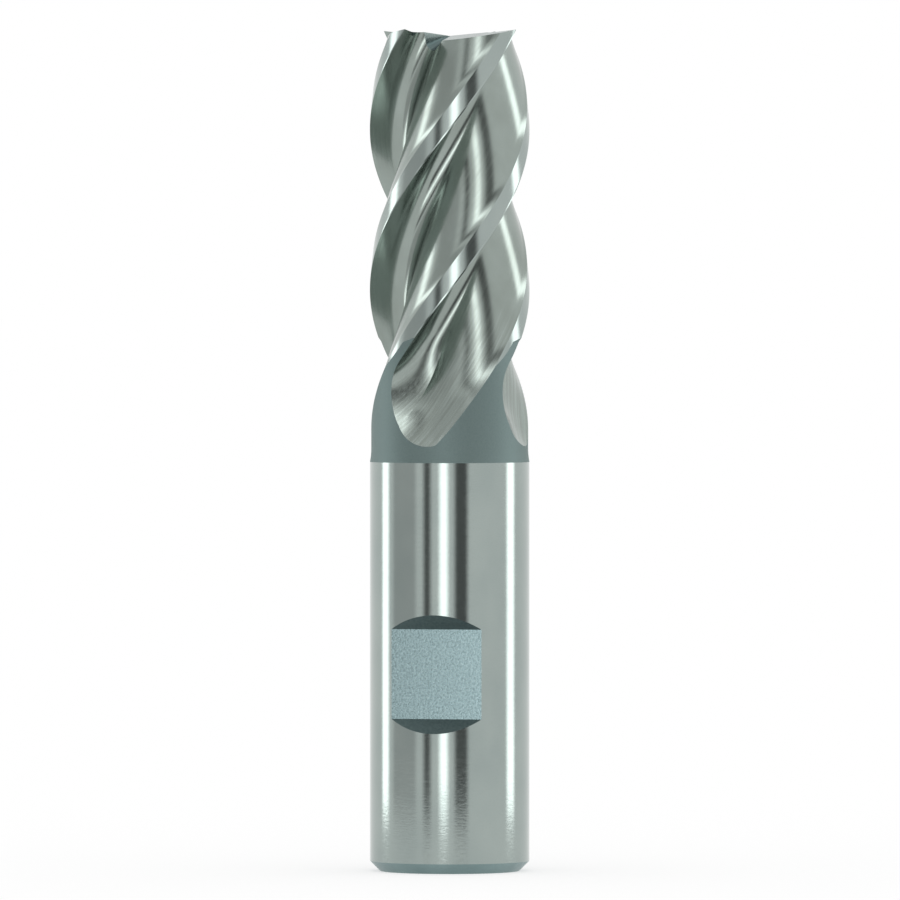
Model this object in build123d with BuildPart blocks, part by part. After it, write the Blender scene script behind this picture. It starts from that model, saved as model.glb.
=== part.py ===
from build123d import *

import os
from math import atan2, cos, degrees, radians, sin, sqrt, tan

# A solid endmill: four right-hand helical flutes on a shank with one clamping flat.
# Millimetres and degrees. The origin is the middle of the shank's end face, +Z points to the
# cutting end, and the clamping flat looks along -Y.

# Body
overall_length = 31.6
cutting_diameter = 6.0
shank_diameter = 6.0
shank_length = 15.38
shank_chamfer = 0.38
profile_angle = 202.5
neck_diameter = 5.9
neck_sweep_length = 0.51

# Clamping flat on the shank
flat_length = 3.36
flat_centre_height = 7.47
flat_depth = 0.54
flat_wall_angle = 45.0

# Flutes, as a section square to the axis shows them
tooth_count = 4
helix_angle = 38.0
first_tooth_angle = -22.4
flute_length = 15.66
rake_angle = 12.0
core_diameter = 3.1
gullet_radius = 0.7
back_radius = 2.18
back_facet_width = 0.21
back_facet_angle = 35.0

# The flutes' run-out: how high above their end the heel side starts to leave the body, how much
# sooner a place leaves for each millimetre it lies ahead of the heel, the radius of the curve
# along which it leaves, and its direction in the section at the edge and at the heel
runout_heel_length = 1.03
runout_slant = 0.98
runout_radius = 3.04
runout_edge_direction = 15.5
runout_heel_direction = 119.0

# Ground land behind each cutting edge
land_length = 12.7
land_runout_length = 1.0
land_width = 0.64
margin_width = 0.06
relief_angle = 8.0
land_shoulder_length = 0.15

# End teeth
end_dish_angle = 4.0
end_relief_angle = 9.0
gash_slope = 18.0
gash_wall_angle = 45.0
gash_inner_radius = 0.04
gash_outer_radius = 0.5

# How far a cutter reaches past what it cuts and below its own run-out, and the turn between
# two of its sections
cutter_overrun = 0.6
runout_overrun = 0.45
section_turn = 11.0

cutting_radius = cutting_diameter / 2
shank_radius = shank_diameter / 2
neck_radius = neck_diameter / 2
core_radius = core_diameter / 2
pitch_angle = 360 / tooth_count
turn_per_length = degrees(tan(radians(helix_angle)) / cutting_radius)
flute_end = overall_length - flute_length
land_end = overall_length - land_length
land_full_end = land_end + land_runout_length


def polar(radius, angle):
    """The point of a section at this radius and this angle about the axis."""
    return Vector(radius * cos(radians(angle)), radius * sin(radians(angle)))


def section_plane(height):
    """The plane square to the axis that turns with the helix, its x axis at a cutting edge."""
    turn = first_tooth_angle + turn_per_length * (height - overall_length)
    return Plane(origin=(0, 0, height), x_dir=polar(1, turn), z_dir=(0, 0, 1))


def heights_between(low, high):
    """Evenly spaced heights, no further apart than the section turn."""
    count = int(turn_per_length * (high - low) / section_turn) + 2
    return [low + (high - low) * step / (count - 1) for step in range(count)]


def distances_to_radius(point, direction, radius):
    """Both distances from a point, along a direction, at which the radius is met."""
    nearest = -point.dot(direction)
    half_chord = sqrt(nearest**2 - point.length**2 + radius**2)
    return nearest - half_chord, nearest + half_chord


# Land: an arc of the cutting radius about a centre beside the axis, so that it falls away
# behind a narrow round margin. It ends in the heel.
margin_end_angle = pitch_angle - degrees(margin_width / cutting_radius)
relief_start = margin_end_angle - relief_angle
relief_end = relief_start - degrees(land_width / cutting_radius)
land_centre = polar(cutting_radius, margin_end_angle) - polar(cutting_radius, relief_start)
heel = land_centre + polar(cutting_radius, relief_end)

# Rake face: a straight line inward from the edge, up to the gullet, whose arc touches the core
edge = Vector(cutting_radius, 0)
rake_direction = polar(-1, rake_angle)
gullet_offset = polar(gullet_radius, 90 + rake_angle)
gullet_reach = core_radius + gullet_radius
rake_length, _ = distances_to_radius(edge + gullet_offset, rake_direction, gullet_reach)
rake_foot = edge + rake_direction * rake_length
gullet_centre = rake_foot + gullet_offset
gullet_bottom = gullet_centre.normalized() * core_radius

# Tooth back: a short straight facet at the heel, then a bulging arc down to the gullet
heel_radial = heel.normalized()
heel_tangent = Vector(heel_radial.Y, -heel_radial.X)
facet_fall = radians(back_facet_angle)
facet_direction = heel_tangent * cos(facet_fall) - heel_radial * sin(facet_fall)
facet_foot = heel + facet_direction * back_facet_width
to_gullet = gullet_centre - facet_foot
gullet_distance = to_gullet.length
centre_distance = back_radius + gullet_radius
along = (back_radius**2 - centre_distance**2 + gullet_distance**2) / (2 * gullet_distance)
across = sqrt(back_radius**2 - along**2)
to_gullet = to_gullet.normalized()
back_centre = facet_foot + to_gullet * along + Vector(to_gullet.Y, -to_gullet.X) * across
back_foot = gullet_centre + (back_centre - gullet_centre).normalized() * gullet_radius
back_chord_middle = (facet_foot + back_foot) / 2
back_middle = back_centre + (back_chord_middle - back_centre).normalized() * back_radius

rake_top = edge - rake_direction * cutter_overrun
facet_top = heel - facet_direction * cutter_overrun
outer_corner = polar(cutting_diameter, pitch_angle / 2)

land_lift_direction = polar(1, (relief_start + relief_end) / 2)
land_lift = neck_radius - heel.length


def angle_of(point):
    """A section point's angle about the axis, from the cutting edge."""
    return degrees(atan2(point.Y, point.X))


def runout_start(point):
    """The height at which a point of the flute's section starts to leave the body."""
    ahead = radians(angle_of(heel) - angle_of(point)) * cutting_radius
    return flute_end + runout_heel_length + runout_slant * ahead


def leaving(point, height):
    """Where a point of the flute's section lies at this height, run-out included."""
    turn = (runout_heel_direction - runout_edge_direction) * angle_of(point) / angle_of(heel)
    drop = max(0, runout_start(point) - height)
    return point + polar(drop**2 / (2 * runout_radius), runout_edge_direction + turn)


with BuildPart() as flute_cutter:
    full_depth_end = runout_start(rake_foot)
    flute_heights = heights_between(flute_end - runout_overrun, full_depth_end)[:-1]
    flute_heights += heights_between(full_depth_end, overall_length + cutter_overrun)
    for height in flute_heights:
        foot = leaving(rake_foot, height)
        back_start = leaving(back_foot, height)
        back_end = leaving(facet_foot, height)
        top = leaving(rake_top, height)
        with BuildSketch(section_plane(height)):
            with BuildLine():
                Line(top, foot)
                ThreePointArc(foot, leaving(gullet_bottom, height), back_start)
                ThreePointArc(back_start, leaving(back_middle, height), back_end)
                Polyline(back_end, leaving(facet_top, height), leaving(outer_corner, height), top)
            make_face()
    loft()

with BuildPart() as land_cutter:
    cutter_reach = degrees(cutter_overrun / cutting_radius)
    outer_radius = cutting_radius + cutter_overrun
    land_heights = heights_between(land_end - runout_overrun, land_full_end)[:-1]
    land_heights += heights_between(land_full_end, overall_length + cutter_overrun)
    for height in land_heights:
        progress = max(0, (land_full_end - height) / land_runout_length)
        offset = land_lift_direction * land_lift * progress**2
        with BuildSketch(section_plane(height)):
            with BuildLine():
                inner = CenterArc(
                    land_centre + offset,
                    cutting_radius,
                    relief_end - cutter_reach,
                    relief_start - relief_end + 2 * cutter_reach,
                )
                Polyline(
                    inner @ 1,
                    polar(outer_radius, relief_start + cutter_reach) + offset,
                    polar(outer_radius, relief_end - cutter_reach) + offset,
                    inner @ 0,
                )
            make_face()
    loft()

# End teeth: the end edges dip to the middle, and behind each one the end falls away until the
# next tooth's gash.
dish_depth = cutting_radius * tan(radians(end_dish_angle))
end_centre = Vector(0, 0, overall_length - dish_depth)
edge_outward = polar(1, first_tooth_angle)
edge_ahead = polar(1, first_tooth_angle + 90)
end_slope_out = edge_outward + Vector(0, 0, tan(radians(end_dish_angle)))
end_slope_ahead = edge_ahead + Vector(0, 0, tan(radians(end_relief_angle)))
end_normal = end_slope_out.cross(end_slope_ahead)
end_plane = Plane(origin=end_centre, x_dir=end_slope_out, z_dir=end_normal)

with BuildPart() as end_cutter:
    quarter = cutting_radius + cutter_overrun
    with BuildSketch(Plane(origin=end_centre, x_dir=edge_outward, z_dir=(0, 0, 1))):
        Rectangle(quarter, quarter, align=(Align.MIN, Align.MAX))
    extrude(amount=quarter, both=True)
    split(bisect_by=end_plane, keep=Keep.TOP)

# The gash in front of each end edge is a hollow that widens outward. One side is upright and makes
# the edge's face, and its round bottom falls from the middle of the end.
with BuildPart() as gash_cutter:
    gash_depth = cutting_diameter
    gash_fall = Vector(0, 0, -sin(radians(gash_slope)))
    gash_direction = edge_outward * cos(radians(gash_slope)) + gash_fall
    for reach, radius in ((0, gash_inner_radius), (cutting_radius, gash_outer_radius)):
        corner_drop = radius / sin(radians(gash_wall_angle / 2)) - radius
        gash_top = gash_depth * tan(radians(gash_wall_angle))
        section_origin = end_centre + gash_direction * reach
        with BuildSketch(Plane(origin=section_origin, x_dir=edge_ahead, z_dir=gash_direction)):
            with BuildLine():
                Polyline(
                    (0, -corner_drop),
                    (0, gash_depth - corner_drop),
                    (gash_top, gash_depth - corner_drop),
                    close=True,
                )
            face = make_face()
            fillet(face.vertices().sort_by(Axis.Y)[0], radius)
    loft()

with BuildPart() as flat_cutter:
    flat_reach = flat_depth + cutter_overrun
    wall_run = flat_reach / tan(radians(flat_wall_angle))
    flat_origin = (0, flat_depth - shank_radius, flat_centre_height)
    with BuildSketch(Plane(origin=flat_origin, x_dir=(0, 1, 0), z_dir=(1, 0, 0))):
        with BuildLine():
            Polyline(
                (0, flat_length / 2),
                (0, -flat_length / 2),
                (-flat_reach, -flat_length / 2 - wall_run),
                (-flat_reach, flat_length / 2 + wall_run),
                close=True,
            )
        make_face()
    extrude(amount=shank_radius, both=True)

# The blank is turned from a profile drawn beside the flat, where the seam of its faces then lies.
# The neck runs down into the shank in a shallow sweep.
profile_plane = Plane(
    origin=(0, 0, 0), x_dir=polar(1, profile_angle), z_dir=polar(1, profile_angle - 90)
)
neck_foot = shank_length + neck_sweep_length
blank_end = overall_length + cutter_overrun / 2

with BuildPart() as endmill:
    with BuildSketch(profile_plane):
        with BuildLine():
            TangentArc((neck_radius, neck_foot), (shank_radius, shank_length), tangent=(0, -1))
            Polyline(
                (shank_radius, shank_length),
                (shank_radius, shank_chamfer),
                (shank_radius - shank_chamfer, 0),
                (0, 0),
                (0, blank_end),
                (cutting_radius, blank_end),
                (cutting_radius, land_full_end + land_shoulder_length),
                (neck_radius, land_full_end),
                (neck_radius, neck_foot),
            )
        make_face()
    revolve(axis=Axis.Z)
    add(flat_cutter.part, mode=Mode.SUBTRACT)
    for cutter in (flute_cutter, land_cutter, end_cutter, gash_cutter):
        with PolarLocations(0, tooth_count):
            add(cutter.part, mode=Mode.SUBTRACT)

endmill.part.label = "endmill"
os.makedirs("parts", exist_ok=True)
export_step(endmill.part, "parts/endmill.step")
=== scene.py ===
"""A solid endmill in a plain studio: the ground tool as a fine mesh, cards, floor and camera."""

from math import atan2, ceil, cos, degrees, radians, sin, sqrt, tan

import bmesh
import bpy
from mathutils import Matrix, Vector


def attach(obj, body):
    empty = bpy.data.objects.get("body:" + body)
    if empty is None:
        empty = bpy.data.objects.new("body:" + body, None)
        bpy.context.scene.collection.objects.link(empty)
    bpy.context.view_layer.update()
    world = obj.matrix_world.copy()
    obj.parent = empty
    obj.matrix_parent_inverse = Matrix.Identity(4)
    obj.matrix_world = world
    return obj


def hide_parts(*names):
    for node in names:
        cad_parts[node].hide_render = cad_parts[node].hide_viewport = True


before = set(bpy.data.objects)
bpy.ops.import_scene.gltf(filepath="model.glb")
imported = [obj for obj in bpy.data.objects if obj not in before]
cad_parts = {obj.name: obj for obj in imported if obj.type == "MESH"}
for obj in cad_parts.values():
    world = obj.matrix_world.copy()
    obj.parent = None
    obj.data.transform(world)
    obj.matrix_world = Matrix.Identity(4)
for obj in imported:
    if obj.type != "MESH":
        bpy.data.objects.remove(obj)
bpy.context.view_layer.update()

# The mesh is worked out in millimetres and scaled to metres at the end
MM = 0.001

# Body
overall_length = 31.6
cutting_diameter = 6.0
shank_diameter = 6.0
shank_length = 15.38
shank_chamfer = 0.38
neck_diameter = 5.9
neck_sweep_length = 0.51

# Clamping flat on the shank
flat_length = 3.36
flat_centre_height = 7.47
flat_depth = 0.54
flat_wall_angle = 45.0

# Flutes, as a section square to the axis shows them
tooth_count = 4
helix_angle = 38.0
first_tooth_angle = -22.4
flute_length = 15.66
rake_angle = 12.0
core_diameter = 3.1
gullet_radius = 0.7
back_radius = 2.18
back_facet_width = 0.21
back_facet_angle = 35.0

# The flutes' run-out: how high above their end the heel side starts to leave the body, how much
# sooner a place leaves for each millimetre it lies ahead of the heel, the radius of the curve
# along which it leaves, and its direction in the section at the edge and at the heel
runout_heel_length = 1.03
runout_slant = 0.98
runout_radius = 3.04
runout_edge_direction = 15.5
runout_heel_direction = 119.0

# Ground land behind each cutting edge
land_length = 12.7
land_runout_length = 1.0
land_width = 0.64
margin_width = 0.06
relief_angle = 8.0
land_shoulder_length = 0.15

# End teeth
end_dish_angle = 4.0
end_relief_angle = 9.0
gash_slope = 18.0
gash_wall_angle = 45.0
gash_inner_radius = 0.04
gash_outer_radius = 0.5

# How far a cutter reaches past what it cuts and below its own run-out
cutter_overrun = 0.6
runout_overrun = 0.45

# How finely the mesh is divided, and how far two cutters overlap where they meet
section_spacing = 0.1
ring_spacing = 1.0
line_pieces = 6
arc_pieces = 24
body_segments = 720
crease_angle = 8.0
overlap = 0.01

cutting_radius = cutting_diameter / 2
shank_radius = shank_diameter / 2
neck_radius = neck_diameter / 2
core_radius = core_diameter / 2
pitch_angle = 360 / tooth_count
turn_per_length = degrees(tan(radians(helix_angle)) / cutting_radius)
flute_end = overall_length - flute_length
land_end = overall_length - land_length
land_full_end = land_end + land_runout_length
end_centre = Vector((0, 0, overall_length - cutting_radius * tan(radians(end_dish_angle))))

# Surfaces of the tool, in the order of the mesh's material slots
SURFACES = ("shank", "chamfer", "flat", "wall", "neck", "flute", "margin", "land", "end", "gash")


def polar(radius, angle, height=0.0):
    """A point at this radius and this angle about the axis."""
    return Vector((radius * cos(radians(angle)), radius * sin(radians(angle)), height))


def spaced(low, high, pieces):
    """Evenly spaced values from low to high."""
    return [low + (high - low) * step / pieces for step in range(pieces + 1)]


def line_points(start, end):
    """Points along a straight stretch, without its last one."""
    return [start.lerp(end, share) for share in spaced(0, 1, line_pieces)[:-1]]


def arc_points(start, middle, end):
    """Points along the arc through three points, without its last one."""
    first, second = middle - start, end - start
    doubled_area = 2 * (first.x * second.y - first.y * second.x)
    across = second * first.length_squared - first * second.length_squared
    centre = start + Vector((across.y, -across.x, 0)) / doubled_area
    radius = (start - centre).length
    start_angle = angle_of(start - centre)
    turn = angle_of(end - centre) - start_angle
    turn = turn % 360 if doubled_area > 0 else turn % 360 - 360
    return [centre + polar(radius, angle)
            for angle in spaced(start_angle, start_angle + turn, arc_pieces)[:-1]]


def angle_of(point):
    """A section point's angle about the axis."""
    return degrees(atan2(point.y, point.x))


def tooth_angle(tooth):
    """The angle at which a tooth's edge meets the end of the tool."""
    return first_tooth_angle + pitch_angle * tooth


def distances_to_radius(point, direction, radius):
    """Both distances from a point, along a direction, at which the radius is met."""
    nearest = -point.dot(direction)
    half_chord = sqrt(nearest**2 - point.length_squared + radius**2)
    return nearest - half_chord, nearest + half_chord


# Land: an arc of the cutting radius about a centre beside the axis, ending in the heel
margin_end_angle = pitch_angle - degrees(margin_width / cutting_radius)
relief_start = margin_end_angle - relief_angle
relief_end = relief_start - degrees(land_width / cutting_radius)
land_centre = polar(cutting_radius, margin_end_angle) - polar(cutting_radius, relief_start)
heel = land_centre + polar(cutting_radius, relief_end)
land_lift_direction = polar(1, (relief_start + relief_end) / 2)
land_lift = neck_radius - heel.length

# Rake face: a straight line inward from the edge, up to the gullet, whose arc touches the core
edge = Vector((cutting_radius, 0, 0))
rake_direction = polar(-1, rake_angle)
gullet_offset = polar(gullet_radius, 90 + rake_angle)
rake_length, _ = distances_to_radius(edge + gullet_offset, rake_direction,
                                     core_radius + gullet_radius)
rake_foot = edge + rake_direction * rake_length
gullet_centre = rake_foot + gullet_offset
gullet_bottom = gullet_centre.normalized() * core_radius

# Tooth back: a short straight facet at the heel, then a bulging arc down to the gullet
heel_radial = heel.normalized()
heel_tangent = Vector((heel_radial.y, -heel_radial.x, 0))
facet_fall = radians(back_facet_angle)
facet_direction = heel_tangent * cos(facet_fall) - heel_radial * sin(facet_fall)
facet_foot = heel + facet_direction * back_facet_width
to_gullet = gullet_centre - facet_foot
centre_distance = back_radius + gullet_radius
along_square = back_radius**2 - centre_distance**2 + to_gullet.length_squared
along = along_square / (2 * to_gullet.length)
across = sqrt(back_radius**2 - along**2)
to_gullet.normalize()
back_centre = facet_foot + to_gullet * along + Vector((to_gullet.y, -to_gullet.x, 0)) * across
back_foot = gullet_centre + (back_centre - gullet_centre).normalized() * gullet_radius
back_middle = (facet_foot + back_foot) / 2 - back_centre
back_middle = back_centre + back_middle.normalized() * back_radius

rake_top = edge - rake_direction * cutter_overrun
facet_top = heel - facet_direction * cutter_overrun
outer_corner = polar(cutting_diameter, pitch_angle / 2)


def runout_start(point):
    """The height at which a point of the flute's section starts to leave the body."""
    ahead = radians(angle_of(heel) - angle_of(point)) * cutting_radius
    return flute_end + runout_heel_length + runout_slant * ahead


def leaving(point, height):
    """Where a point of the flute's section lies at this height, run-out included."""
    turn = (runout_heel_direction - runout_edge_direction) * angle_of(point) / angle_of(heel)
    drop = max(0, runout_start(point) - height)
    return point + polar(drop**2 / (2 * runout_radius), runout_edge_direction + turn)


def flute_outline(height):
    """The flute's cutter square to the axis at this height."""
    corners = (rake_top, rake_foot, gullet_bottom, back_foot, back_middle, facet_foot,
               facet_top, outer_corner)
    top, foot, bottom, back_start, middle, back_end, heel_top, outer = [
        leaving(corner, height) for corner in corners]
    outline = line_points(top, foot) + arc_points(foot, bottom, back_start)
    outline += arc_points(back_start, middle, back_end)
    return outline + line_points(back_end, heel_top) + [heel_top, outer]


def land_outline(height):
    """The land's cutter square to the axis at this height."""
    progress = max(0, (land_full_end - height) / land_runout_length)
    offset = land_lift_direction * land_lift * progress**2
    reach = degrees(cutter_overrun / cutting_radius)
    outer_radius = cutting_radius + cutter_overrun
    outline = [land_centre + polar(cutting_radius, angle)
               for angle in spaced(relief_end - reach, relief_start + reach, arc_pieces)]
    outline += [polar(outer_radius, relief_start + reach), polar(outer_radius, relief_end - reach)]
    return [corner + offset for corner in outline]


def in_scene(name, data):
    """A new object with this mesh or camera, put in the scene."""
    piece = bpy.data.objects.new(name, data)
    bpy.context.scene.collection.objects.link(piece)
    return piece


def faces_between(rows, count):
    """The faces between rows of points, where each row is a closed loop of so many points."""
    faces = []
    for row in range(0, (rows - 1) * count, count):
        for column in range(count):
            a, b = row + column, row + (column + 1) % count
            faces.append((a, b, b + count, a + count))
    return faces


def new_object(name, points, faces, surface_of_face):
    """An object with one material slot for each surface of the tool."""
    mesh = bpy.data.meshes.new(name)
    mesh.from_pydata(points, [], faces)
    for _ in SURFACES:
        mesh.materials.append(None)
    for polygon, surface in zip(mesh.polygons, surface_of_face):
        polygon.material_index = SURFACES.index(surface)
    mesh.validate()
    return in_scene(name, mesh)


def helical_cutter(name, outline_at, tooth, low, surface):
    """A closed cutter through the outlines at each height, turned with the helix."""
    high = overall_length + cutter_overrun
    heights = spaced(low, high, ceil((high - low) / section_spacing))
    points = []
    for height in heights:
        turn = tooth_angle(tooth) + turn_per_length * (height - overall_length)
        c, s = cos(radians(turn)), sin(radians(turn))
        outline = outline_at(height)
        for corner in outline:
            points.append((corner.x * c - corner.y * s, corner.x * s + corner.y * c, height))
    count = len(outline)
    top = len(points) - count
    faces = faces_between(len(heights), count)
    faces += [tuple(reversed(range(count))), tuple(range(top, top + count))]
    return new_object(name, points, faces, [surface] * len(faces))


def revolved(name, outline, surfaces):
    """A closed body of revolution through (radius, height) points, from axis to axis."""
    points, faces, face_surfaces = [(0, 0, outline[0][1])], [], []
    for radius, height in outline[1:-1]:
        for step in range(body_segments):
            points.append(polar(radius, 360 * step / body_segments, height))
    points.append((0, 0, outline[-1][1]))
    last = len(points) - 1
    rings = len(outline) - 2
    for step in range(body_segments):
        following = (step + 1) % body_segments
        faces.append((0, 1 + following, 1 + step))
        face_surfaces.append(surfaces[0])
        for ring in range(rings - 1):
            low, high = 1 + ring * body_segments, 1 + (ring + 1) * body_segments
            faces.append((low + step, low + following, high + following, high + step))
            face_surfaces.append(surfaces[ring + 1])
        top = 1 + (rings - 1) * body_segments
        faces.append((last, top + step, top + following))
        face_surfaces.append(surfaces[rings])
    return new_object(name, points, faces, face_surfaces)


def blank():
    """The turned blank that the cutters work on."""
    neck_step = shank_radius - neck_radius
    sweep_radius = (neck_sweep_length**2 + neck_step**2) / (2 * neck_step)
    outline = [(0, 0), (shank_radius - shank_chamfer, 0), (shank_radius, shank_chamfer)]
    surfaces = ["chamfer", "chamfer"]
    for height in spaced(shank_chamfer, shank_length, round(shank_length / ring_spacing))[1:]:
        outline.append((shank_radius, height))
        surfaces.append("shank")
    for rise in spaced(0, neck_sweep_length, line_pieces)[1:]:
        gap = neck_sweep_length - rise
        outline.append((neck_radius + sweep_radius - sqrt(sweep_radius**2 - gap**2),
                        shank_length + rise))
        surfaces.append("neck")
    top = overall_length + cutter_overrun / 2
    outline += [(neck_radius, land_full_end),
                (cutting_radius, land_full_end + land_shoulder_length),
                (cutting_radius, top), (0, top)]
    surfaces += ["neck", "neck", "margin", "end"]
    return revolved("tool_blank", outline, surfaces)


def prism(name, base, top, surface):
    """A closed body between two flat outlines with as many corners."""
    count = len(base)
    faces = [tuple(reversed(range(count))), tuple(range(count, 2 * count))]
    faces += faces_between(2, count)
    return new_object(name, base + top, faces, [surface] * len(faces))


def end_cutter(tooth):
    """What lies over one quadrant's end face, which dips inward and falls away behind the edge."""
    turn = tooth_angle(tooth)
    outward, behind = polar(1, turn), polar(1, turn - 90)
    slope_out = outward + Vector((0, 0, tan(radians(end_dish_angle))))
    slope_behind = behind - Vector((0, 0, tan(radians(end_relief_angle))))
    reach = cutting_radius + cutter_overrun
    base = [end_centre + slope_out * out + slope_behind * back
            for out, back in ((-overlap, -overlap), (-overlap, reach), (reach, reach),
                              (reach, -overlap))]
    top = [corner + Vector((0, 0, reach)) for corner in base]
    return prism(f"end_cutter_{tooth}", base, top, "end")


def gash_cutter(tooth):
    """The gash in front of one end edge: a round-bottomed V that widens outward."""
    turn = tooth_angle(tooth)
    outward, ahead = polar(1, turn), polar(1, turn + 90)
    slope, wall = radians(gash_slope), radians(gash_wall_angle)
    direction = outward * cos(slope) + Vector((0, 0, -sin(slope)))
    upward = outward * sin(slope) + Vector((0, 0, cos(slope)))
    depth = cutting_diameter
    ends = []
    for reach, radius in ((0, gash_inner_radius), (cutting_radius, gash_outer_radius)):
        corner_drop = radius / sin(wall / 2) - radius
        rise = radius / tan(wall / 2)
        outline = [polar(radius, angle) + Vector((radius, rise, 0))
                   for angle in spaced(180, 360 - gash_wall_angle, arc_pieces)]
        outline += [Vector((depth * tan(wall), depth, 0)), Vector((0, depth, 0))]
        ends.append([end_centre + direction * reach + ahead * corner.x
                     + upward * (corner.y - corner_drop) for corner in outline])
    return prism(f"gash_cutter_{tooth}", *ends, "gash")


def flat_cutter():
    """The clamping flat with its sloping ends."""
    reach = flat_depth + cutter_overrun
    run = reach / tan(radians(flat_wall_angle))
    base = []
    for along, out in ((-flat_length / 2, 0), (flat_length / 2, 0),
                       (flat_length / 2 + run, reach), (-flat_length / 2 - run, reach)):
        base.append(Vector((-shank_radius, flat_depth - shank_radius - out,
                            flat_centre_height + along)))
    top = [corner + Vector((shank_diameter, 0, 0)) for corner in base]
    cutter = prism("flat_cutter", base, top, "wall")
    for polygon in cutter.data.polygons:
        if abs(polygon.center.y - base[0].y) < overlap:
            polygon.material_index = SURFACES.index("flat")
    return cutter


def cut(body, cutters):
    """Takes the cutters away from the body, for good."""
    for cutter in cutters:
        recalculate_normals(cutter)
        modifier = body.modifiers.new("cut", "BOOLEAN")
        modifier.operation = "DIFFERENCE"
        modifier.solver = "MANIFOLD"
        modifier.object = cutter
        settle(body)
        mesh = cutter.data
        bpy.data.objects.remove(cutter)
        bpy.data.meshes.remove(mesh)


def recalculate_normals(piece):
    """Turns every face of a closed mesh outward."""
    work = bmesh.new()
    work.from_mesh(piece.data)
    bmesh.ops.recalc_face_normals(work, faces=work.faces)
    work.to_mesh(piece.data)
    work.free()


def settle(piece):
    """Replaces the mesh by the result of its modifiers."""
    graph = bpy.context.evaluated_depsgraph_get()
    mesh = bpy.data.meshes.new_from_object(piece.evaluated_get(graph))
    old = piece.data
    piece.modifiers.clear()
    piece.data = mesh
    bpy.data.meshes.remove(old)


def mark_creases(piece):
    """Smooth shading, broken where two surfaces meet and at real corners."""
    work = bmesh.new()
    work.from_mesh(piece.data)
    for face in work.faces:
        face.smooth = True
    for edge in work.edges:
        if len(edge.link_faces) != 2:
            continue
        first, second = edge.link_faces
        corner = edge.calc_face_angle(0) > radians(crease_angle)
        edge.smooth = not corner and first.material_index == second.material_index
    work.to_mesh(piece.data)
    work.free()


def ground_tool():
    """The whole tool as one fine mesh."""
    flute_low, land_low = flute_end - runout_overrun, land_end - runout_overrun
    cutters = [flat_cutter()]
    for tooth in range(tooth_count):
        cutters.append(helical_cutter(
            f"flute_cutter_{tooth}", flute_outline, tooth, flute_low, "flute"))
        cutters.append(helical_cutter(
            f"land_cutter_{tooth}", land_outline, tooth, land_low, "land"))
        cutters.append(end_cutter(tooth))
        cutters.append(gash_cutter(tooth))
    tool = blank()
    recalculate_normals(tool)
    cut(tool, cutters)
    mark_creases(tool)
    for vertex in tool.data.vertices:
        vertex.co *= MM
    tool.name = "ground_tool"
    return tool


# Finishes: how fine the noise is, the part of its range that tone, marks and scar follow, how
# far a scar's streaks shift the tone, and the turn that lays the gloss along the flutes
NOISE_DETAIL = 3.0
TONE_RANGE = (0.3, 0.7)
MARK_RANGE = (0.25, 0.75)
SCAR_RANGE = (0.35, 0.65)
SCAR_STREAK = 0.6
QUARTER_TURN = 0.25

# The run-out keeps the coarse marks of the wheel: the heights where they start and are full
SCAR_START = 21.6
SCAR_FULL = 19.4


def math_node(tree, operation, first, second=None):
    """The output of a math node, whose inputs are sockets or numbers."""
    node = tree.nodes.new("ShaderNodeMath")
    node.operation = operation
    for socket, value in zip(node.inputs, (first, second)):
        if value is None:
            continue
        if isinstance(value, (int, float)):
            socket.default_value = value
        else:
            tree.links.new(value, socket)
    return node.outputs[0]


def object_place(tree):
    """The surface point's x, y and z in metres."""
    place = tree.nodes.new("ShaderNodeTexCoord")
    split = tree.nodes.new("ShaderNodeSeparateXYZ")
    tree.links.new(place.outputs["Object"], split.inputs[0])
    return split.outputs


def cycles(tree, x, y, z, across, along):
    """A place for noise: so many cycles in a millimetre across and along the axis."""
    node = tree.nodes.new("ShaderNodeCombineXYZ")
    for socket, value, number in zip(node.inputs, (x, y, z), (across, across, along)):
        tree.links.new(math_node(tree, "MULTIPLY", value, number / MM), socket)
    return node.outputs[0]


def turned_lines(tree, across, along):
    """Places for marks that run round the axis, or for grain where both numbers are alike."""
    return cycles(tree, *object_place(tree), across, along)


def helical_lines(tree, across, along, at_cutting_radius=False):
    """Places for marks that run along the flutes: the point is turned back along the helix. At
    the cutting radius, the marks also keep their line where the flute's floor rises."""
    x, y, z = object_place(tree)
    if at_cutting_radius:
        square = math_node(tree, "ADD", math_node(tree, "MULTIPLY", x, x),
                           math_node(tree, "MULTIPLY", y, y))
        stretch = math_node(tree, "DIVIDE", cutting_radius * MM, math_node(tree, "SQRT", square))
        x, y = math_node(tree, "MULTIPLY", x, stretch), math_node(tree, "MULTIPLY", y, stretch)
    turn = math_node(tree, "MULTIPLY", z, -radians(turn_per_length) / MM)
    c, s = math_node(tree, "COSINE", turn), math_node(tree, "SINE", turn)
    unwound_x = math_node(tree, "SUBTRACT", math_node(tree, "MULTIPLY", x, c),
                          math_node(tree, "MULTIPLY", y, s))
    unwound_y = math_node(tree, "ADD", math_node(tree, "MULTIPLY", x, s),
                          math_node(tree, "MULTIPLY", y, c))
    return cycles(tree, unwound_x, unwound_y, z, across, along)


def set_inputs(node, **values):
    """Sets a node's sockets to plain values. An underscore stands for a space in their names."""
    for name, value in values.items():
        node.inputs[name.replace("_", " ")].default_value = value


def noise(tree, place, roughness=0.5):
    """A noise value between 0 and 1 at this place."""
    node = tree.nodes.new("ShaderNodeTexNoise")
    set_inputs(node, Scale=1.0, Detail=NOISE_DETAIL, Roughness=roughness)
    tree.links.new(place, node.inputs["Vector"])
    return node.outputs["Fac"]


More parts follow.
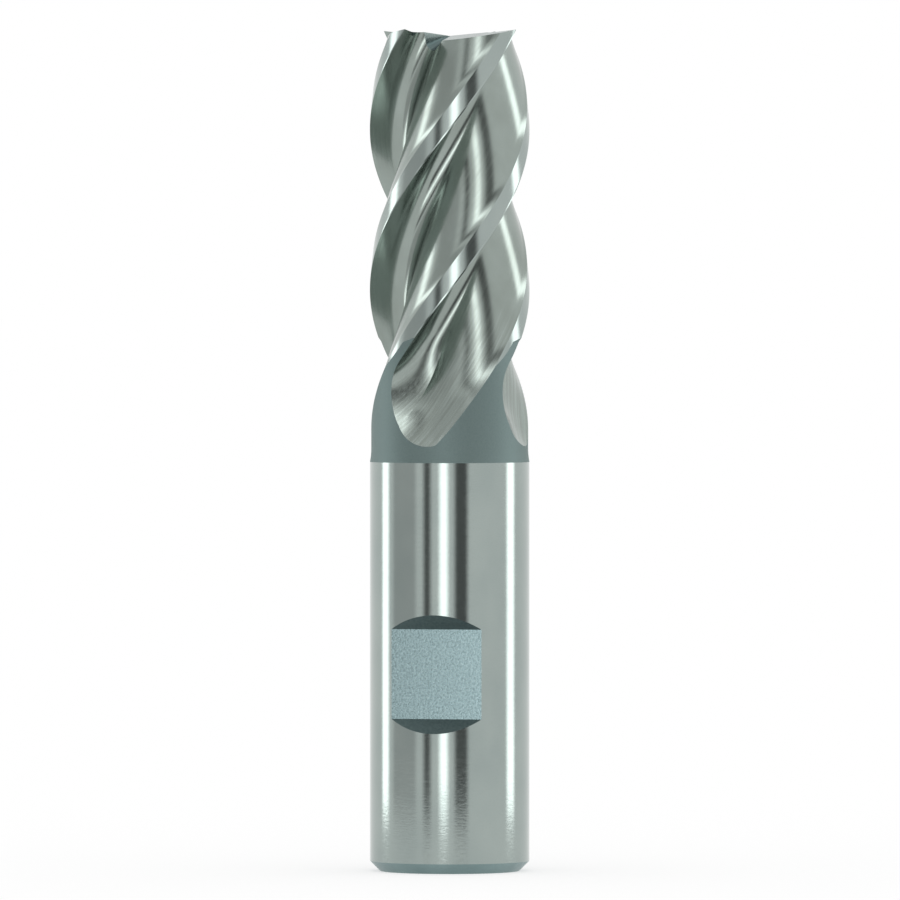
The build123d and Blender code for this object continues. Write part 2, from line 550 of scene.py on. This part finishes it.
def spread(tree, value, low, high, to_low, to_high):
    """A value carried from one range to another, and held there."""
    node = tree.nodes.new("ShaderNodeMapRange")
    set_inputs(node, From_Min=low, From_Max=high, To_Min=to_low, To_Max=to_high)
    tree.links.new(value, node.inputs["Value"])
    return node.outputs["Result"]


def shade_between(tree, value, dark, light):
    """A colour between two, by a value from 0 to 1."""
    node = tree.nodes.new("ShaderNodeMix")
    node.data_type = "RGBA"
    tree.links.new(value, node.inputs["Factor"])
    set_inputs(node, A=(*dark, 1), B=(*light, 1))
    return node.outputs["Result"]


def helix_direction(tree):
    """The way the flutes run at the surface point, as a vector."""
    x, y, _ = object_place(tree)
    turn = radians(turn_per_length) / MM
    node = tree.nodes.new("ShaderNodeCombineXYZ")
    tree.links.new(math_node(tree, "MULTIPLY", y, -turn), node.inputs["X"])
    tree.links.new(math_node(tree, "MULTIPLY", x, turn), node.inputs["Y"])
    node.inputs["Z"].default_value = 1.0
    return node.outputs[0]


def new_material(name):
    """A new material with its nodes and its shader."""
    material = bpy.data.materials.new(name)
    material.use_nodes = True
    return material, material.node_tree, material.node_tree.nodes["Principled BSDF"]


def steel(name, dark, light, tone, rough, marks, bump_height, brushed=0.0, scar=None):
    """Bare steel: colour, roughness and relief follow noise. A scar is a coarser finish over it:
    its mask and its own noise, how rough it is and how deep."""
    material, tree, shader = new_material(name)
    set_inputs(shader, Metallic=1.0)
    tone_value, mark_value = tone(tree), marks(tree)
    roughness = spread(tree, mark_value, *MARK_RANGE, *rough)
    height = math_node(tree, "MULTIPLY", mark_value, bump_height * MM)
    tone_value = spread(tree, tone_value, *TONE_RANGE, 0, 1)
    if scar:
        mask, coarse, added_roughness, depth = scar
        mask, coarse = mask(tree), coarse(tree)
        roughness = math_node(tree, "ADD", roughness,
                              math_node(tree, "MULTIPLY", mask, added_roughness))
        relief = math_node(tree, "MULTIPLY", coarse, mask)
        height = math_node(tree, "ADD", height, math_node(tree, "MULTIPLY", relief, depth * MM))
        streak = spread(tree, coarse, *SCAR_RANGE, -SCAR_STREAK, SCAR_STREAK)
        tone_value = math_node(tree, "ADD", tone_value, math_node(tree, "MULTIPLY", mask, streak))
    tree.links.new(shade_between(tree, tone_value, dark, light), shader.inputs["Base Color"])
    tree.links.new(roughness, shader.inputs["Roughness"])
    if brushed:
        set_inputs(shader, Anisotropic=brushed, Anisotropic_Rotation=QUARTER_TURN)
        tree.links.new(helix_direction(tree), shader.inputs["Tangent"])
    bump = tree.nodes.new("ShaderNodeBump")
    set_inputs(bump, Strength=1.0, Distance=1.0)
    tree.links.new(height, bump.inputs["Height"])
    tree.links.new(bump.outputs["Normal"], shader.inputs["Normal"])
    return material


def tool_materials():
    """The finish of each surface, with painted shade in the tones of the chamfer, the flat's walls
    and the gash, in the order of SURFACES.
    """
    def round_lines(tree):
        return noise(tree, turned_lines(tree, across=4.0, along=11.0), roughness=0.6)

    def flute_lines(tree):
        return noise(tree, helical_lines(tree, across=12.0, along=0.25))

    def coarse_lines(tree):
        place = helical_lines(tree, across=8.0, along=0.35, at_cutting_radius=True)
        return noise(tree, place, roughness=0.6)

    def low_flute(tree):
        _, _, z = object_place(tree)
        return spread(tree, z, SCAR_START * MM, SCAR_FULL * MM, 0, 1)

    def cloud(tree):
        return noise(tree, turned_lines(tree, across=0.6, along=0.4))

    def grain(tree):
        return noise(tree, turned_lines(tree, across=16.0, along=16.0), roughness=0.7)

    def blasted(tree):
        return noise(tree, turned_lines(tree, across=11.0, along=11.0), roughness=0.75)

    light_steel, dark_steel = (0.35, 0.4, 0.38), (0.31, 0.36, 0.345)
    flute_scar = (low_flute, coarse_lines, 0.05, 0.0022)
    # Name, darker and lighter tone, what the tone follows, least and most roughness, the marks
    # and how deep they are in millimetres, and for the flutes how brushed they are and their scar
    finishes = {
        "shank": ("ground_shank", dark_steel, light_steel, cloud,
                  (0.08, 0.14), round_lines, 0.0012),
        # The chamfer's tones hold painted shade: its turned steel is painted darker than the
        # shank, where it faces down toward the floor
        "chamfer": ("turned_chamfer_painted_shade", (0.2, 0.28, 0.28), (0.25, 0.34, 0.34), cloud,
                    (0.28, 0.4), round_lines, 0.001),
        "flat": ("blasted_flat", (0.22, 0.31, 0.32), (0.36, 0.48, 0.5), blasted,
                 (0.16, 0.36), blasted, 0.007),
        # The walls' tones hold painted shade: the flat's blasted steel is painted far darker on
        # the walls of its recess
        "wall": ("blasted_wall_painted_shade", (0.07, 0.1, 0.1), (0.11, 0.15, 0.15), blasted,
                 (0.34, 0.5), blasted, 0.006),
        "neck": ("raw_neck", (0.14, 0.19, 0.185), (0.18, 0.235, 0.23), grain,
                 (0.5, 0.65), grain, 0.003),
        "flute": ("ground_flute", (0.27, 0.31, 0.285), (0.33, 0.38, 0.355), cloud,
                  (0.12, 0.22), flute_lines, 0.0006, 0.4, flute_scar),
        "margin": ("ground_margin", dark_steel, light_steel, cloud,
                   (0.1, 0.2), flute_lines, 0.0004),
        "land": ("ground_land", dark_steel, light_steel, cloud,
                 (0.1, 0.18), flute_lines, 0.0005),
        "end": ("ground_end", (0.24, 0.29, 0.28), (0.3, 0.36, 0.35), cloud,
                (0.2, 0.34), grain, 0.001),
        # The gash's tones hold painted shade: the end's ground steel is painted far darker in the
        # recess before each edge
        "gash": ("ground_gash_painted_shade", (0.08, 0.12, 0.12), (0.13, 0.18, 0.18), cloud,
                 (0.24, 0.4), grain, 0.002),
    }
    return [steel(*finishes[surface]) for surface in SURFACES]


# Camera: how far it stands, where its eye is and what it looks at, all from the photograph
PICTURE_PIXELS = 900
PIXELS_PER_MM = 26.6
CAMERA_DISTANCE_PIXELS = 12500
BASE_ROW = 870.9
EYE_ROW = 240.0
AXIS_COLUMN = 449.7
SENSOR_WIDTH = 36.0
CAMERA_AZIMUTH = -78.4


def place_camera():
    """The photograph's view: long lens, level with the upper flutes."""
    distance = CAMERA_DISTANCE_PIXELS / PIXELS_PER_MM * MM
    eye_height = (BASE_ROW - EYE_ROW) / PIXELS_PER_MM * MM
    aim_height = (BASE_ROW - PICTURE_PIXELS / 2) / PIXELS_PER_MM * MM
    beside = (PICTURE_PIXELS / 2 - AXIS_COLUMN) / PIXELS_PER_MM * MM
    data = bpy.data.cameras.new("camera")
    data.sensor_width = SENSOR_WIDTH
    data.lens = SENSOR_WIDTH * CAMERA_DISTANCE_PIXELS / PICTURE_PIXELS
    data.clip_start, data.clip_end = 0.01, 10.0
    camera = in_scene("camera", data)
    camera.location = polar(distance, CAMERA_AZIMUTH, eye_height)
    aim = polar(beside, CAMERA_AZIMUTH + 90, aim_height)
    camera.rotation_euler = (aim - camera.location).to_track_quat("-Z", "Y").to_euler()
    bpy.context.scene.camera = camera


# Studio: how much light the room gives, how grey the floor is under its own light, and how far
# the floor reaches each way in metres
ROOM_LIGHT = 0.85
FLOOR_SHADE = 0.5
FLOOR_REACH = 3.0

# Plain upright cards stand in a ring round the tool, close enough for the low shank to mirror
# them: sizes in metres, strengths, and the degrees over which their sides fade into the room
CARD_RADIUS = 0.05
CARD_HEIGHT = 0.06  # up to here at full strength
CARD_TOP = 0.09
CARD_FADE = 6.0
BOX_LIGHT = 3.2
WALL_SHADE = 0.65
FLAG_SHADE = 0.15

# Each card with its strength and its two sides, in degrees to the right of the camera
CARDS = (
    ("left_box", BOX_LIGHT, -114, -94),
    ("left_wall", WALL_SHADE, -90, -46),
    ("left_flag", FLAG_SHADE, -40, -24),
    ("front_box", BOX_LIGHT, -17, 0),
    ("right_flag", FLAG_SHADE, 4, 28),
    ("right_box", BOX_LIGHT, 86, 107),
)


def hang_card(name, strength, left, right, material):
    """One upright card that only reflections show. Its sides and top fade into the white room."""
    columns = ((left, 0), (left + CARD_FADE, 1), (right - CARD_FADE, 1), (right, 0))
    points, tones = [], []
    for height, rise in ((0, 1), (CARD_HEIGHT, 1), (CARD_TOP, 0)):
        for azimuth, inside in columns:
            points.append(polar(CARD_RADIUS, CAMERA_AZIMUTH + azimuth, height))
            tones.append(1 + (strength - 1) * inside * rise)
    count = len(columns)
    faces = [(first, first + 1, first + 1 + count, first + count)
             for row in (0, count) for first in range(row, row + count - 1)]
    mesh = bpy.data.meshes.new(name)
    mesh.from_pydata(points, [], faces)
    attribute = mesh.color_attributes.new("tone", "FLOAT_COLOR", "POINT")
    for place, tone in zip(attribute.data, tones):
        place.color = (tone, tone, tone, 1)
    mesh.materials.append(material)
    card = in_scene(name, mesh)
    card.visible_camera = False
    card.visible_diffuse = False
    card.visible_shadow = False


def hang_cards():
    """Three soft boxes, a grey wall and two dark flags."""
    material, tree, shader = new_material("card")
    set_inputs(shader, Base_Color=(0, 0, 0, 1), Specular_IOR_Level=0.0, Emission_Strength=1.0)
    tone = tree.nodes.new("ShaderNodeVertexColor")
    tone.layer_name = "tone"
    tree.links.new(tone.outputs["Color"], shader.inputs["Emission Color"])
    for name, strength, left, right in CARDS:
        hang_card(name, strength, left, right, material)


def light_studio():
    """A plain white room with a few cards for the steel to mirror."""
    hang_cards()
    world = bpy.data.worlds.new("studio")
    bpy.context.scene.world = world
    world.use_nodes = True
    tree = world.node_tree
    shade = shade_between(tree, seen_or_mirrored(tree), (ROOM_LIGHT,) * 3, (1, 1, 1))
    tree.links.new(shade, tree.nodes["Background"].inputs["Color"])


def seen_or_mirrored(tree):
    """One for rays from the camera and from gloss or glass, zero for light that falls."""
    rays = tree.nodes.new("ShaderNodeLightPath")
    mirrored = math_node(tree, "MAXIMUM", rays.outputs["Is Glossy Ray"],
                         rays.outputs["Is Transmission Ray"])
    return math_node(tree, "MAXIMUM", rays.outputs["Is Camera Ray"], mirrored)


def lay_floor():
    """A plain white floor: part of its white is its own, so that the shadow on it stays soft."""
    sides = ((-1, -1), (1, -1), (1, 1), (-1, 1))
    mesh = bpy.data.meshes.new("floor")
    mesh.from_pydata([(x * FLOOR_REACH, y * FLOOR_REACH, 0) for x, y in sides], [],
                     [(0, 1, 2, 3)])
    floor = in_scene("floor", mesh)
    material, tree, shader = new_material("white_floor")
    set_inputs(shader, Base_Color=(*(FLOOR_SHADE,) * 3, 1), Roughness=1.0,
               Specular_IOR_Level=0.0, Emission_Color=(1, 1, 1, 1))
    own_light = math_node(tree, "MULTIPLY", seen_or_mirrored(tree), 1 - FLOOR_SHADE * ROOM_LIGHT)
    tree.links.new(own_light, shader.inputs["Emission Strength"])
    mesh.materials.append(material)


tool = ground_tool()
for slot_index, material in enumerate(tool_materials()):
    tool.data.materials[slot_index] = material
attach(tool, "root")
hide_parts("endmill")
place_camera()
light_studio()
lay_floor()
bpy.context.scene.view_settings.view_transform = "Standard"
